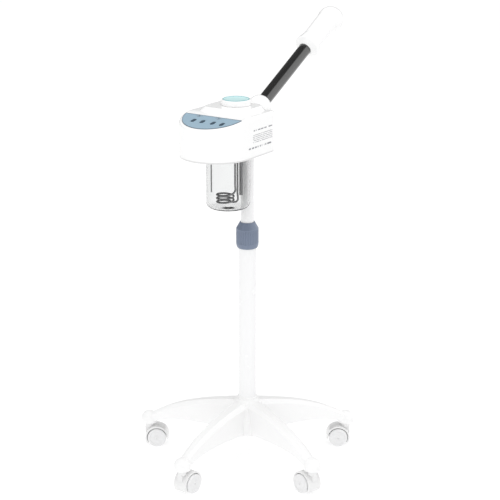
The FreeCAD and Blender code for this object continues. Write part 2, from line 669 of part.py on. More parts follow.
def ozone_lamp():
    bulb = rod((118, 36, 740), (160, 36, 740), 7)
    base = rod((112, 36, 740), (118, 36, 740), 8.5)
    return bulb.fuse(Part.makeSphere(7, V(160, 36, 740))).fuse(base)


def transformer():
    core = box(124, 158, -46, -12, HEAD_SPLIT_Z, 741)
    winding = box(128, 154, -52, -6, 717, 737)
    return core.fuse(winding)


def inlet_body(grow):
    """Mains socket on the left flank: face plate outside, body inside."""
    w = -HEAD_HALF_WIDTH
    return box(26 - grow, 54 + grow, w - 0.05, w + 20, 728 - grow, 748 + grow)


def mains_inlet():
    w = -HEAD_HALF_WIDTH
    plate = box(20, 60, w - 2.0, w, 724, 752)
    corner = [e for e in plate.Edges if abs(e.tangentAt(e.FirstParameter).y) > 0.9]
    body = plate.makeFillet(3, corner).fuse(box(26, 54, w, w + 20, 728, 748))
    body = body.cut(box(29, 51, w - 3, w + 14, 731, 745))
    pins = [box(s - 1, s + 1, w + 1, w + 15, z - 3.5, z + 0.5) for s, z in ((34, 740), (40, 743), (46, 740))]
    for pin in pins:
        body = body.fuse(pin)
    return body


def build_head():
    save("head_lower_shell", in_head(head_lower_shell()))
    save("head_upper_shell", in_head(head_upper_shell()))
    save("mast_socket", in_head(mast_socket()))
    save("control_panel", in_head(control_panel()))
    save("indicator_lenses", in_head(indicator_lenses()))
    save("control_board", in_head(control_board()))
    save("filler_neck", in_head(filler_neck()))
    save("filler_cap", in_head(filler_cap()))
    save("cap_disc", in_head(cap_disc()))
    save("jar_flange", in_head(jar_flange()))
    save("jar_gasket", in_head(moved(tube(JAR_R + 0.3, 40, JAR_TOP_Z + 0.3, FLANGE_Z), JAR_S)))
    save("heating_coil", in_head(heating_coil()))
    save("level_probe", in_head(level_probe()))
    save("steam_sensor", in_head(steam_sensor()))
    save("glass_jar", in_head(glass_jar()))
    save("steam_duct", in_head(steam_duct()))
    save("ozone_lamp", in_head(ozone_lamp()))
    save("transformer", in_head(transformer()))
    save("mains_inlet", in_head(mains_inlet()))
    save("shell_screws", in_head(shell_screws()))
    for i, w in enumerate(BUTTON_W):
        save("button_%d" % (i + 1), in_head(button(w)))


# ------------------------------------------------------------- steam arm
def arm_socket():
    """Cup that carries the ball and turns on the steam spigot."""
    cup = Part.makeSphere(BALL_R + 3.0, V(BALL_S, 0, BALL_Z))
    cup = cup.cut(box(-90, 0, -40, 40, 767.5, 830)).cut(Part.makeSphere(BALL_R + 0.35, V(BALL_S, 0, BALL_Z)))
    stem = cylinder(8.5, DUCT_Z + DUCT_R + 1.0, 760, BALL_S, 0).cut(Part.makeSphere(BALL_R + 0.35, V(BALL_S, 0, BALL_Z)))
    return cup.fuse(stem).cut(cylinder(DUCT_R + RUNNING_CLEARANCE, 740, 765, BALL_S, 0))


def arm_ball():
    ball = Part.makeSphere(BALL_R)
    body = ball.cut(Part.makeSphere(BALL_R - BALL_WALL))
    body = body.cut(along_x(ARM_TUBE_R, 10, 40))
    intake = Part.makeCylinder(9, 40, V(0, 0, 0), V(-math.sin(math.radians(ARM_ELEVATION_DEG)), 0,
                                                     -math.cos(math.radians(ARM_ELEVATION_DEG))))
    return body.cut(intake)


def along_x(radius, x0, x1):
    return Part.makeCylinder(radius, x1 - x0, V(x0, 0, 0), V(1, 0, 0))


def arm_tube():
    start, end = BALL_R - BALL_WALL + 0.5, 250
    return along_x(ARM_TUBE_R, start, end).cut(along_x(ARM_TUBE_R - 1.5, start - 1, end + 1))


def arm_sleeve():
    sleeve = along_x(SLEEVE_R, BALL_R - 6, SLEEVE_END).cut(along_x(ARM_TUBE_R, 0, SLEEVE_END + 1))
    return sleeve.cut(Part.makeSphere(BALL_R))


def nozzle_body():
    """Flared skirt, slightly widening barrel and a bulb with the steam mouth on its lower side."""
    profile = [(0, SKIRT_FACE_X), (SLEEVE_R + 1.2, SKIRT_FACE_X), (SKIRT_R - 1.2, SKIRT_RIM_X - 1.6),
               (SKIRT_R, SKIRT_RIM_X), (SKIRT_R - 0.4, SKIRT_RIM_X + 2), (KINK_R, KINK_X), (BARREL_R, BULB_X), (0, BULB_X)]
    barrel = turned(revolve(profile), 90, axis=V(0, 1, 0))
    bulb = Part.makeSphere(BULB_R, V(BULB_X, 0, -BULB_DROP))
    outer = barrel.fuse(bulb).cut(box(0, 400, -60, 60, -100, -MOUTH_REACH))
    hollow = turned(Part.makeCone(KINK_R - NOZZLE_WALL, BARREL_R - NOZZLE_WALL, BULB_X - HOLLOW_X,
                                  V(0, 0, HOLLOW_X), UP), 90, axis=V(0, 1, 0))
    hollow = hollow.fuse(Part.makeSphere(BULB_R - NOZZLE_WALL, V(BULB_X, 0, -BULB_DROP)))
    hollow = hollow.cut(box(0, 400, -60, 60, -100, NOZZLE_WALL - MOUTH_REACH))
    body = outer.cut(hollow).cut(mouth_disc(MOUTH_R, -MOUTH_REACH - 5, 0))
    body = body.cut(along_x(SLEEVE_R + 0.3, SKIRT_FACE_X - 1, SLEEVE_END + 0.3))
    return body.cut(along_x(ARM_TUBE_R + RUNNING_CLEARANCE, SLEEVE_END, HOLLOW_X + 1))


def mouth_disc(radius, z0, z1):
    return cylinder(radius, z0, z1, BULB_X, 0)


def nozzle_ring():
    top = OUTLET_DEPTH - MOUTH_REACH
    return mouth_disc(MOUTH_R, -MOUTH_REACH, top).cut(mouth_disc(OUTLET_R, -MOUTH_REACH - 5, top + 1))


def nozzle_pad():
    z = OUTLET_DEPTH - MOUTH_REACH
    return mouth_disc(MOUTH_R, z, z + 3)


def build_arm():
    save("arm_socket", in_head(arm_socket()))
    save("arm_ball", in_arm(arm_ball()))
    save("arm_tube", in_arm(arm_tube()))
    save("arm_sleeve", in_arm(arm_sleeve()))
    save("nozzle_body", in_arm(nozzle_body()))
    save("nozzle_ring", in_arm(nozzle_ring()))
    save("nozzle_pad", in_arm(nozzle_pad()))


os.makedirs("parts", exist_ok=True)
build_base()
build_casters()
build_head()
build_arm()
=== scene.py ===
# %% [markdown]
# # A facial steamer on a wheeled stand
# The steamer is a moulded boiler head with a glass jar hanging under it, a black arm that carries
# the steam nozzle, and a telescopic column on a five-legged star base with twin-wheel casters.
# The engineering model already gives every part its place, so this script loads it as a fixed
# frame and then dresses it: better surfaces where a part is seen close up, and a worked finish on all.

# %% Load the frame
import json
import math

import bpy
import numpy as np
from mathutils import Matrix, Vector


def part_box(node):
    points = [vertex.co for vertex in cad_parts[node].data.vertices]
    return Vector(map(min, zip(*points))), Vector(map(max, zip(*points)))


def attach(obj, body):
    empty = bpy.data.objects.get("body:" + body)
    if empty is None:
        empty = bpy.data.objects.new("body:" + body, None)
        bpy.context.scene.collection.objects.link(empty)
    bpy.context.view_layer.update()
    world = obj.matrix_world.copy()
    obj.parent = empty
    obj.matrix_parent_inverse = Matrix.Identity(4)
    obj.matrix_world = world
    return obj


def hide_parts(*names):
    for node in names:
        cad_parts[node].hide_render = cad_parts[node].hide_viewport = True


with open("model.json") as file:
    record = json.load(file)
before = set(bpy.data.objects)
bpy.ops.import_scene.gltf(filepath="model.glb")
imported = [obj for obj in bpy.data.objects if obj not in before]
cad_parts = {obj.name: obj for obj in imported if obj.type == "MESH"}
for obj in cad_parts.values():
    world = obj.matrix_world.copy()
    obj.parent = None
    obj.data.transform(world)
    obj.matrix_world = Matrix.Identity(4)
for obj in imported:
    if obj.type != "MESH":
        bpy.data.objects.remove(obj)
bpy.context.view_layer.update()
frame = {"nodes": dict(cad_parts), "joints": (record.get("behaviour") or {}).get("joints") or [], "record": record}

MM = 0.001
NODES = frame["nodes"]
JOINTS = {joint["name"]: joint for joint in frame["joints"]}

# %% [markdown]
# ## Finding our way about the head
# The head is turned on its column, so its own directions are not the room's. Two flat unit
# vectors describe it: one runs forward to the nose, the other to the side. Reading a part's
# vertices along those two directions gives its sizes without copying any number by hand.

# %% Directions and measurements of the head
TILT_JOINT = JOINTS["arm_tilt"]
SIDE = np.array(TILT_JOINT["axis"], float)
FORWARD = np.array([SIDE[1], -SIDE[0], 0.0])
UP = np.array([0.0, 0.0, 1.0])
BALL = np.array(TILT_JOINT["pos_m"], float)
ARM = np.array(JOINTS["nozzle_turn"]["axis"], float)


def vertices(node):
    """All the corner points of a CAD node, as rows of x, y, z in metres."""
    mesh = NODES[node].data
    flat = np.empty(len(mesh.vertices) * 3)
    mesh.vertices.foreach_get("co", flat)
    return flat.reshape(-1, 3)


def span(node, direction, base=(0.0, 0.0, 0.0)):
    """Lowest and highest distance of a node's points from base, measured along a direction."""
    along = (vertices(node) - np.array(base)) @ np.array(direction)
    return float(along.min()), float(along.max())


def head_point(s, w, z):
    """A point s forward of the column, w to the side and z above the floor; each may be an array."""
    s, w, z = np.broadcast_arrays(s, w, z)
    return s[..., None] * FORWARD + w[..., None] * SIDE + z[..., None] * UP


print("forward", FORWARD.round(3), "side", SIDE.round(3), "arm", ARM.round(3))

# %% [markdown]
# ## Surfaces from a grid
# Every new piece here is a grid of points worked out by a formula. A grid can be closed round
# one way (a tube) or both ways (a ring), and an open end can be gathered into its centre so that
# the shape is watertight. Doing the sums on whole arrays is quick and keeps the formula readable.

# %% Turn a grid of points into a mesh
def grid_faces(rows, columns, wrap_rows, wrap_columns):
    """Quads that join each grid point to its neighbours; a wrapped direction joins end to start."""
    i = np.arange(rows if wrap_rows else rows - 1)
    j = np.arange(columns if wrap_columns else columns - 1)
    i, j = (a.ravel() for a in np.meshgrid(i, j, indexing="ij"))
    k, m = (i + 1) % rows, (j + 1) % columns
    return np.stack([i * columns + j, k * columns + j, k * columns + m, i * columns + m], axis=1)


def surface(name, grid, body, finish, wrap_rows=False, wrap_columns=True, caps=True):
    """Build an object from a grid of points, closing open rows with a fan to their middle point."""
    rows, columns = grid.shape[:2]
    points = grid.reshape(-1, 3)
    faces = grid_faces(rows, columns, wrap_rows, wrap_columns).tolist()
    if caps and not wrap_rows:
        middles = np.stack([grid[0].mean(axis=0), grid[-1].mean(axis=0)])
        points = np.vstack([points, middles])
        j = np.arange(columns)
        m = (j + 1) % columns
        first, last = rows * columns, rows * columns + 1
        top = (rows - 1) * columns
        faces += np.stack([np.full(columns, first), j, m], axis=1).tolist()
        faces += np.stack([np.full(columns, last), top + m, top + j], axis=1).tolist()
    return finish_mesh(name, points, faces, body, finish)


def finish_mesh(name, points, faces, body, finish):
    """Make the mesh, turn its faces outward if its volume is negative, and put it on its body."""
    mesh = bpy.data.meshes.new(name)
    mesh.from_pydata(points.tolist(), [], faces)
    mesh.update()
    if signed_volume(mesh) < 0:
        mesh.flip_normals()
    mesh.polygons.foreach_set("use_smooth", np.ones(len(mesh.polygons), bool))
    mesh.set_sharp_from_angle(angle=math.radians(40))
    piece = bpy.data.objects.new(name, mesh)
    bpy.context.scene.collection.objects.link(piece)
    mesh.materials.append(FINISHES[finish])
    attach(piece, body)
    print("%-18s %6d points %6d faces" % (name, len(points), len(faces)))
    return piece


def signed_volume(mesh):
    """Sum of the little pyramids between the origin and each triangle; positive when faces look out."""
    mesh.calc_loop_triangles()
    corners = np.empty(len(mesh.loop_triangles) * 3, int)
    mesh.loop_triangles.foreach_get("vertices", corners)
    flat = np.empty(len(mesh.vertices) * 3)
    mesh.vertices.foreach_get("co", flat)
    a, b, c = flat.reshape(-1, 3)[corners.reshape(-1, 3)].transpose(1, 0, 2)
    return float(np.einsum("ij,ij->i", a, np.cross(b, c)).sum() / 6)


# %% [markdown]
# ## Two ways to sweep a shape
# A turned part is a profile carried round an axis, as on a lathe. A bead is a small circle
# carried round a closed path, which here is always nearly level, so the upright direction is
# enough to set the circle square to the path.

# %% Lathe and sweep
def square_to(axis):
    """Two unit vectors square to the axis and to each other."""
    helper = UP if abs(axis @ UP) < 0.9 else FORWARD
    first = np.cross(axis, helper)
    first /= np.linalg.norm(first)
    return first, np.cross(axis, first)


def turned(profile, base, axis=UP, count=96):
    """Points base + height * axis + radius * (cos t * a + sin t * b), for each profile row and angle t."""
    profile = np.array(profile, float) * MM
    a, b = square_to(axis)
    t = np.linspace(0, 2 * math.pi, count, endpoint=False)
    ring = np.cos(t)[:, None] * a + np.sin(t)[:, None] * b
    return np.array(base) + profile[:, 1, None, None] * axis + profile[:, 0, None, None] * ring


def closed_swept(path, radius, count=12):
    """A circle carried round a closed, nearly level path, square to the path at each point."""
    tangent = np.roll(path, -1, axis=0) - np.roll(path, 1, axis=0)
    tangent /= np.linalg.norm(tangent, axis=1)[:, None]
    a = np.cross(tangent, UP)
    a /= np.linalg.norm(a, axis=1)[:, None]
    b = np.cross(tangent, a)
    t = np.linspace(0, 2 * math.pi, count, endpoint=False)
    ring = np.cos(t)[None, :, None] * a[:, None] + np.sin(t)[None, :, None] * b[:, None]
    return path[:, None] + radius * ring


def resampled(points, step):
    """The same line with points an even step apart."""
    points = np.array(points, float)
    length = np.concatenate([[0], np.cumsum(np.linalg.norm(np.diff(points, axis=0), axis=1))])
    wanted = np.linspace(0, length[-1], max(2, int(round(length[-1] / step)) + 1))
    return np.stack([np.interp(wanted, length, points[:, k]) for k in range(points.shape[1])], axis=1)


def softened(points, reach):
    """Each point becomes the bell-weighted mean of its neighbours, so corners turn into bends."""
    k = np.arange(-3 * reach, 3 * reach + 1)
    weights = np.exp(-0.5 * (k / reach) ** 2)
    weights /= weights.sum()
    before = 2 * points[0] - points[1:3 * reach + 1][::-1]
    after = 2 * points[-1] - points[-3 * reach - 1:-1][::-1]
    padded = np.vstack([before, points, after])
    return np.stack([np.convolve(padded[:, k], weights, "valid") for k in range(points.shape[1])], axis=1)


# %% [markdown]
# ## Shared effects for the finishes
# A moulding is never one flat value. It has a fine grain from the tool, patches where the gloss
# changes a little, and dust that settles on what faces up. Each effect is a node group, made once
# and used by every finish that needs it with its own amounts.

# %% Helpers that place and join nodes
def place(tree, kind, **values):
    """Add a node and set its properties and unlinked inputs by name."""
    node = tree.nodes.new(kind)
    for key, value in values.items():
        if hasattr(node, key):
            setattr(node, key, value)
        else:
            node.inputs[key.replace("_", " ")].default_value = value
    return node


def new_group(name, inputs, outputs):
    """An empty node group; inputs and outputs are (name, kind, default) and (name, kind)."""
    group = bpy.data.node_groups.new(name, "ShaderNodeTree")
    for label, kind, default in inputs:
        socket = group.interface.new_socket(label, in_out="INPUT", socket_type="NodeSocket" + kind)
        if default is not None:
            socket.default_value = default
    for label, kind in outputs:
        group.interface.new_socket(label, in_out="OUTPUT", socket_type="NodeSocket" + kind)
    return group, group.nodes.new("NodeGroupInput"), group.nodes.new("NodeGroupOutput")


def mixed(tree, factor, first, second, blend="MIX"):
    """A colour Mix node with its factor and two colours linked."""
    node = place(tree, "ShaderNodeMix", data_type="RGBA", blend_type=blend)
    tree.links.new(factor, node.inputs[0])
    for socket, source in ((node.inputs[6], first), (node.inputs[7], second)):
        if isinstance(source, bpy.types.NodeSocket):
            tree.links.new(source, socket)
        else:
            socket.default_value = source
    return node.outputs[2]


def sums(tree, operation, first, second, clamp=False):
    """A Math node with sockets or plain numbers on its two inputs."""
    node = place(tree, "ShaderNodeMath", operation=operation, use_clamp=clamp)
    for socket, source in ((node.inputs[0], first), (node.inputs[1], second)):
        if isinstance(source, bpy.types.NodeSocket):
            tree.links.new(source, socket)
        else:
            socket.default_value = source
    return node.outputs[0]


# %% Moulded grain: tone, gloss and height that vary over the surface
def build_grain_group():
    """Fine noise gives the height, broad noise shades the colour and the gloss."""
    group, inside, outside = new_group(
        "Moulded grain",
        [("Vector", "Vector", None), ("Color", "Color", (0.8, 0.8, 0.8, 1)), ("Scale", "Float", 900.0),
         ("Mottle", "Float", 0.04), ("Roughness", "Float", 0.3), ("Gloss spread", "Float", 0.08)],
        [("Color", "Color"), ("Roughness", "Float"), ("Height", "Float")])
    fine = place(group, "ShaderNodeTexNoise", Detail=4.0, Roughness=0.6)
    broad = place(group, "ShaderNodeTexNoise", Scale=22.0, Detail=5.0, Roughness=0.55)
    group.links.new(inside.outputs["Vector"], fine.inputs["Vector"])
    group.links.new(inside.outputs["Vector"], broad.inputs["Vector"])
    group.links.new(inside.outputs["Scale"], fine.inputs["Scale"])
    darker = mixed(group, inside.outputs["Mottle"], inside.outputs["Color"], (0.0, 0.0, 0.0, 1))
    tone = mixed(group, broad.outputs["Fac"], inside.outputs["Color"], darker)
    centred = sums(group, "SUBTRACT", broad.outputs["Fac"], 0.5)
    spread = sums(group, "MULTIPLY", centred, inside.outputs["Gloss spread"])
    rough = sums(group, "ADD", inside.outputs["Roughness"], spread)
    group.links.new(tone, outside.inputs["Color"])
    group.links.new(rough, outside.inputs["Roughness"])
    group.links.new(fine.outputs["Fac"], outside.inputs["Height"])
    return group


GRAIN = build_grain_group()

# %% Settled dust: a mask that grows where a surface faces up
def build_dust_group():
    """Upward-facing share of the normal times a cloudy noise, scaled by the amount."""
    group, inside, outside = new_group(
        "Settled dust", [("Vector", "Vector", None), ("Amount", "Float", 0.2)], [("Mask", "Float")])
    normal = group.nodes.new("ShaderNodeNewGeometry")
    parts = group.nodes.new("ShaderNodeSeparateXYZ")
    cloud = place(group, "ShaderNodeTexNoise", Scale=60.0, Detail=6.0, Roughness=0.7)
    group.links.new(inside.outputs["Vector"], cloud.inputs["Vector"])
    group.links.new(normal.outputs["Normal"], parts.inputs[0])
    facing = sums(group, "MAXIMUM", parts.outputs["Z"], 0.0)
    settled = sums(group, "MULTIPLY", facing, cloud.outputs["Fac"])
    mask = sums(group, "MULTIPLY", settled, inside.outputs["Amount"], True)
    group.links.new(mask, outside.inputs["Mask"])
    return group


DUST = build_dust_group()

# %% Draw lines: fine parallel streaks left by rolling, drawing or brushing
def build_streak_group():
    """Noise squeezed across one direction, so it reads as lines along it."""
    group, inside, outside = new_group(
        "Draw lines", [("Vector", "Vector", None), ("Across", "Float", 1500.0), ("Along", "Float", 12.0)],
        [("Lines", "Float")])
    scale = group.nodes.new("ShaderNodeCombineXYZ")
    for axis, source in (("X", "Across"), ("Y", "Across"), ("Z", "Along")):
        group.links.new(inside.outputs[source], scale.inputs[axis])
    stretch = place(group, "ShaderNodeVectorMath", operation="MULTIPLY")
    lines = place(group, "ShaderNodeTexNoise", Scale=1.0, Detail=3.0)
    group.links.new(inside.outputs["Vector"], stretch.inputs[0])
    group.links.new(scale.outputs[0], stretch.inputs[1])
    group.links.new(stretch.outputs[0], lines.inputs["Vector"])
    group.links.new(lines.outputs["Fac"], outside.inputs["Lines"])
    return group


STREAKS = build_streak_group()
print("node groups", [g.name for g in bpy.data.node_groups])

# %% [markdown]
# ## Finishes
# One function lays down the common build: object coordinates feed the grain, the dust veils the
# colour, and the fine noise becomes a shallow bump. What makes each finish its own is a handful
# of numbers, and a few finishes get extra nodes after this step.

# %% The common build of a moulded or painted finish
FINISHES = {}
DUST_TINT = (0.62, 0.60, 0.56, 1)


def moulded(slot, colour, rough, grain=900.0, depth=0.00002, mottle=0.05, spread=0.1, dust=0.1, **shader):
    """A Principled surface whose colour, gloss and bump all come from the shared groups."""
    material = bpy.data.materials.new(slot)
    material.use_nodes = True
    tree = material.node_tree
    skin = tree.nodes["Principled BSDF"]
    spot = tree.nodes.new("ShaderNodeTexCoord")
    effect = place(tree, "ShaderNodeGroup", node_tree=GRAIN)
    veil = place(tree, "ShaderNodeGroup", node_tree=DUST)
    for group in (effect, veil):
        tree.links.new(spot.outputs["Object"], group.inputs["Vector"])
    effect.inputs["Color"].default_value = (*colour, 1)
    effect.inputs["Scale"].default_value = grain
    effect.inputs["Mottle"].default_value = mottle
    effect.inputs["Roughness"].default_value = rough
    effect.inputs["Gloss spread"].default_value = spread
    veil.inputs["Amount"].default_value = dust
    coloured = mixed(tree, veil.outputs["Mask"], effect.outputs["Color"], DUST_TINT)
    bump = place(tree, "ShaderNodeBump", Strength=0.35, Distance=depth)
    tree.links.new(effect.outputs["Height"], bump.inputs["Height"])
    tree.links.new(bump.outputs["Normal"], skin.inputs["Normal"])
    tree.links.new(coloured, skin.inputs["Base Color"])
    tree.links.new(effect.outputs["Roughness"], skin.inputs["Roughness"])
    for label, value in shader.items():
        skin.inputs[label.replace("_", " ")].default_value = value
    FINISHES[slot] = material
    return material


# %% White mouldings, paint and nylon
# the lower shell's finish is the same white plastic painted darker: painted shade along the bottom edge of the
# casing, so that edge reads as a line
moulded("casing_white", (0.93, 0.93, 0.93), 0.22, grain=700, mottle=0.012, dust=0.02, Coat_Weight=0.25)
moulded("casing_painted_shade", (0.72, 0.72, 0.72), 0.3, grain=700, mottle=0.03, dust=0.0)
moulded("base_white", (0.92, 0.92, 0.92), 0.34, grain=500, depth=0.00004, mottle=0.02, dust=0.05)
moulded("tube_white", (0.90, 0.90, 0.905), 0.26, grain=260, depth=0.00003, mottle=0.015, dust=0.0)
moulded("caster_white", (0.85, 0.85, 0.85), 0.2, grain=600, mottle=0.03, dust=0.08)
moulded("wheel_white", (0.82, 0.82, 0.825), 0.3, grain=450, depth=0.00005, mottle=0.05, dust=0.05)
moulded("nylon", (0.80, 0.80, 0.77), 0.42, grain=520, mottle=0.04)

# %% Coloured mouldings, rubber and felt
moulded("collar_grey", (0.187, 0.228, 0.317), 0.36, grain=620, depth=0.00006, mottle=0.12, dust=0.06)
moulded("panel_blue", (0.31, 0.44, 0.54), 0.38, grain=1400, depth=0.00002, mottle=0.06, dust=0.03)
moulded("button_slate", (0.045, 0.082, 0.12), 0.4, grain=1500, depth=0.00003, mottle=0.15, dust=0.04)
moulded("lens_grey", (0.22, 0.30, 0.37), 0.12, grain=1800, mottle=0.05, dust=0.02)
moulded("cap_teal", (0.66, 0.92, 0.93), 0.16, grain=800, mottle=0.03, dust=0.02)
moulded("sleeve_black", (0.008, 0.008, 0.008), 0.2, grain=1100, depth=0.00003, mottle=0.3, spread=0.08,
        dust=0.02, Specular_IOR_Level=0.9, Coat_Weight=0.6, Coat_Roughness=0.12)
moulded("gasket", (0.55, 0.07, 0.05), 0.5, grain=700, mottle=0.12)
moulded("pad_felt", (0.86, 0.85, 0.82), 0.9, grain=1600, depth=0.0002, mottle=0.18)
moulded("board_green", (0.03, 0.16, 0.07), 0.3, grain=400, mottle=0.2)
moulded("transformer_iron", (0.09, 0.09, 0.10), 0.45, grain=300, mottle=0.25)
moulded("inlet_black", (0.02, 0.02, 0.02), 0.38, grain=800, mottle=0.25)

# %% [markdown]
# ## Metal
# The heater, the probes and the small fixings are bare metal. Drawn steel carries fine lines
# along its length, so the streak group drives both the roughness and the bump.

# %% Steel and zinc
def metal(slot, colour, rough, across, along):
    """A metal whose drawn lines lift the roughness and scratch the surface."""
    material = moulded(slot, colour, rough, grain=900, mottle=0.15, dust=0.0, Metallic=1.0)
    tree = material.node_tree
    skin = tree.nodes["Principled BSDF"]
    spot = next(n for n in tree.nodes if n.type == "TEX_COORD")
    lines = place(tree, "ShaderNodeGroup", node_tree=STREAKS)
    lines.inputs["Across"].default_value = across
    lines.inputs["Along"].default_value = along
    tree.links.new(spot.outputs["Object"], lines.inputs["Vector"])
    lifted = sums(tree, "ADD", sums(tree, "MULTIPLY", lines.outputs["Lines"], 0.22), rough - 0.1)
    tree.links.new(lifted, skin.inputs["Roughness"])
    tree.links.new(lines.outputs["Lines"], next(n for n in tree.nodes if n.type == "BUMP").inputs["Height"])


metal("steel", (0.22, 0.22, 0.225), 0.3, 1500.0, 20.0)
metal("zinc", (0.62, 0.62, 0.63), 0.34, 900.0, 60.0)

# %% [markdown]
# ## Glass
# The jar is clear glass. Light is dimmed a little by every millimetre it travels inside the wall, so
# the sides stay clear while the foot and the edges, seen along the wall, draw themselves in grey.
# Real glass has an index near 1.5. It is set close to 1 here as a choice for the look: the heater
# and the probes inside stay nearly where they are, where real glass would shift and bend them.

# %% Glass finishes
GLASS_INDEX = 1.06


def clear_glass(slot, colour, rough, ripple, density):
    """Transmitting surface with a very shallow ripple, and glass inside that dims light with depth."""
    material = moulded(slot, colour, rough, grain=45, depth=ripple, mottle=0.01, spread=0.02, dust=0.0,
                       Transmission_Weight=1.0, IOR=GLASS_INDEX, Coat_Weight=0.3, Coat_Roughness=0.03)
    tree = material.node_tree
    inside = place(tree, "ShaderNodeVolumeAbsorption", Color=(0.0, 0.0, 0.0, 1), Density=density)
    tree.links.new(inside.outputs[0], tree.nodes["Material Output"].inputs["Volume"])


clear_glass("jar_glass", (0.98, 0.985, 0.985), 0.03, 0.0001, 24.0)
clear_glass("lamp_glass", (0.93, 0.94, 1.0), 0.05, 0.0001, 5.0)
print("finishes", sorted(FINISHES))

# %% [markdown]
# ## Dressing the CAD parts
# The record says which material slot each part belongs to, so one loop can dress them all. The
# meshes are left alone; only the finish in the slot changes. The lower shell takes a darker white
# instead of its slot's own, which is painted shade along the bottom edge of the casing.

# %% Give every CAD node its finish
# the lower shell gets a darker white: painted shade along the casing's bottom edge
PAINTED_SHADE_FINISH = {"head_lower_shell": "casing_painted_shade"}
for entry in frame["record"]["subparts"]:
    mesh = NODES[entry["node"]].data
    mesh.materials.clear()
    mesh.materials.append(FINISHES[PAINTED_SHADE_FINISH.get(entry["node"], entry["material_slot"])])

# %% [markdown]
# ## The clamp collar
# The blue-grey collar is twisted by hand to lock the telescopic mast, so its barrel is fluted.
# It is a turned profile whose radius dips wherever a flute runs; raising a cosine to a high power
# makes narrow grooves with broad lands between them.

# %% Collar
FLUTES = 28
FLUTE_FOOT = 11.0
FLUTE_HEAD = 42.5
FLUTE_DEPTH_SHARE = 0.045
collar_foot = span("clamp_collar", UP)[0] / MM
COLLAR_PROFILE = [(19.6, 2.5), (20.4, 0.6), (21.4, 1.4), (22.9, 4.5), (23.7, 8.0), (24.0, 12.0),
                  (24.0, 43.6), (23.5, 45.0), (22.6, 46.2), (16.3, 57.6), (15.4, 58.4), (14.6, 57.8),
                  (14.6, 55.0)]
line = softened(resampled(COLLAR_PROFILE, 0.45), 1)
collar = turned(line + [0, collar_foot], (0, 0, 0), count=FLUTES * 8)
angle = np.linspace(0, 2 * math.pi, FLUTES * 8, endpoint=False)
groove = (0.5 + 0.5 * np.cos(FLUTES * angle)) ** 3
window = np.clip((line[:, 1] - FLUTE_FOOT) / 2.0, 0, 1) * np.clip((FLUTE_HEAD - line[:, 1]) / 1.5, 0, 1)
shrink = 1 - FLUTE_DEPTH_SHARE * window[:, None] * groove[None, :]
collar[..., :2] *= shrink[..., None]
grip = surface("collar_grip", collar, "collar", "collar_grey", caps=False)
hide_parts("clamp_collar")

# %% [markdown]
# ## The arm's black sleeve
# The steam pipe is covered by a smooth black sleeve that keeps it cool to touch. It is turned
# about the arm's own axis, with its two ends rolled in so they catch a thin line of light.

# %% Sleeve
sleeve_start, sleeve_end = (v / MM for v in span("arm_sleeve", ARM, BALL))
SLEEVE_R = span("arm_sleeve", SIDE, BALL)[1] / MM
ROLL_R = 1.2
BORE_R = 11.02
roll = np.linspace(0, math.pi / 2, 6)
rise, run = ROLL_R * (1 - np.sin(roll)), ROLL_R * (1 - np.cos(roll))
start_roll = np.stack([SLEEVE_R - rise, sleeve_start + run], axis=1)
end_roll = np.stack([SLEEVE_R - run, sleeve_end - rise], axis=1)
barrel = np.stack([np.full(60, SLEEVE_R), np.linspace(sleeve_start + 2, sleeve_end - 2, 60)], axis=1)
sleeve_line = np.vstack([[(BORE_R, sleeve_start + 0.02)], start_roll, barrel, end_roll,
                         [(BORE_R, sleeve_end - 0.02)]])
sleeve = surface("sleeve_skin", turned(sleeve_line, BALL, ARM, 96), "arm", "sleeve_black", caps=False)
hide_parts("arm_sleeve")

# %% [markdown]
# ## The filler cap's lid
# The cap that closes the filling mouth has a pale teal lens in a deeper teal ring. Two
# turned pieces do it: a rounded ring, and a shallow dish inside it.

# %% Cap ring and lens
moulded("cap_ring", (0.20, 0.50, 0.54), 0.18, grain=900, mottle=0.06, dust=0.02)
low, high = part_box("cap_disc")
cap_centre = [(low[0] + high[0]) / 2, (low[1] + high[1]) / 2, low[2]]
cap_height = (high[2] - low[2]) / MM
cap_r = (high[0] - low[0]) / 2 / MM - 0.15
RING_WIDTH = 1.5
inner = cap_r - RING_WIDTH
ring_line = softened(resampled([(inner, 0.0), (cap_r - 0.2, 0.0), (cap_r, 0.4), (cap_r, cap_height - 0.9),
                                (cap_r - 0.7, cap_height - 0.1), (inner + 0.4, cap_height - 0.2),
                                (inner, cap_height - 1.0), (inner, 0.0)], 0.3), 1)
ring = surface("cap_ring", turned(ring_line, cap_centre), "cap", "cap_ring", caps=False)
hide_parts("cap_disc")
dish_r = np.linspace(0.3, inner + 0.1, 24)
dish_z = cap_height - 1.9 + 0.9 * (dish_r / dish_r[-1]) ** 3
dish_line = np.vstack([np.stack([dish_r, dish_z], axis=1), [(dish_r[-1], 0.3), (0.3, 0.3)]])
surface("cap_lens", turned(dish_line, cap_centre), "cap", "cap_teal")

# %% [markdown]
# ## The jar
# The jar is a straight glass beaker with a rounded foot and a small solid pip under it. The wall
# has thickness, so the glass darkens where it is seen along the wall. It is drawn 2.4 mm thick, a
# little thinner than the engineering part's 3 mm, because a thinner wall looks clearer.

